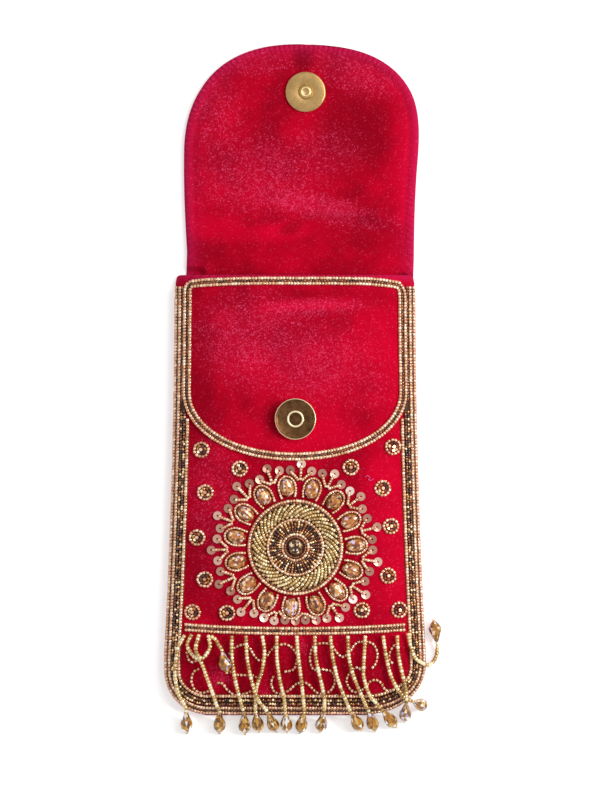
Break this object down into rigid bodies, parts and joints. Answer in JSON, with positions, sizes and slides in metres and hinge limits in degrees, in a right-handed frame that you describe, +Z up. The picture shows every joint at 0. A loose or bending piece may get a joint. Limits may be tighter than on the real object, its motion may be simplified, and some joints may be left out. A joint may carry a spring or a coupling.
{
  "type": "phone pouch",
  "caption": "Crimson velvet phone pouch with gold seed beadwork, a round medallion, glass drop fringe and a snap flap, lying open on its back.",
  "frame": {"origin": "on the table, in the middle of the flat back panel", "axes": "+Y along the pouch from the fringe to the mouth and the open flap, +Z up out of the beaded front, +X to the right seen from above"},
  "size_m": [0.1219, 0.3035, 0.0211],
  "materials": {
    "crimson_velvet": "short pile velvet",
    "stiff_board": "stiff buckram",
    "pale_gold_beads": "pale gold lustre seed beads",
    "dark_brown_beads": "dark brown cut seed beads",
    "green_gold_rope": "fine coiled greenish gilt wire",
    "amber_glass": "faceted amber glass",
    "champagne_glass": "faceted champagne glass",
    "champagne_beads": "champagne lustre seed beads",
    "light_brass": "satin light antique brass",
    "dark_brass": "dark antique brass",
    "magnet_grey": "sintered ferrite magnet",
    "steel": "plated steel"
  },
  "bodies": {
    "pouch": {"back_cover": "crimson_velvet", "back_stiffener": "stiff_board", "back_lining": "crimson_velvet", "front_panel": "crimson_velvet", "front_lining": "crimson_velvet", "snap_socket_casing": "dark_brass", "snap_magnet": "magnet_grey", "snap_socket_base": "steel", "snap_socket_washer": "steel", "edge_bead_row": "pale_gold_beads", "border_bead_row": "pale_gold_beads", "dark_border_band": "dark_brown_beads", "inner_border_row": "pale_gold_beads", "flap_line_rows": "pale_gold_beads", "mouth_rows": "pale_gold_beads", "fringe_header_rows": "pale_gold_beads", "medallion_heart": "amber_glass", "medallion_inner_ring": "pale_gold_beads", "medallion_spoke_ring": "dark_brown_beads", "medallion_middle_ring": "pale_gold_beads", "medallion_rope_ring": "green_gold_rope", "medallion_outer_ring": "pale_gold_beads", "petal_loops": "pale_gold_beads", "strand_01": "champagne_beads", "strand_02": "champagne_beads", "strand_03": "champagne_beads", "strand_04": "champagne_beads", "strand_05": "champagne_beads", "strand_06": "champagne_beads", "strand_07": "champagne_beads", "strand_08": "champagne_beads", "strand_09": "champagne_beads", "strand_10": "champagne_beads", "strand_11": "champagne_beads", "strand_12": "champagne_beads", "strand_13": "champagne_beads", "strand_14": "champagne_beads", "strand_15": "champagne_beads", "drop_01": "champagne_glass", "drop_02": "champagne_glass", "drop_03": "champagne_glass", "drop_04": "champagne_glass", "drop_05": "champagne_glass", "drop_06": "champagne_glass", "drop_07": "champagne_glass", "drop_08": "champagne_glass", "drop_09": "champagne_glass", "drop_10": "champagne_glass", "drop_11": "champagne_glass", "drop_12": "champagne_glass", "drop_13": "champagne_glass", "drop_14": "champagne_glass", "drop_15": "champagne_glass"},
    "flap": {"flap_cover": "crimson_velvet", "flap_stiffener": "stiff_board", "flap_facing": "crimson_velvet", "snap_stud": "light_brass", "snap_stud_washer": "steel"}
  },
  "joints": [
    {"name": "flap_hinge", "type": "hinge", "parent": "pouch", "child": "flap", "pos_m": [0.0024, 0.10125, 0.01175], "axis": [0.9995, -0.0312, 0], "range_deg": [0, 180]}
  ]
}
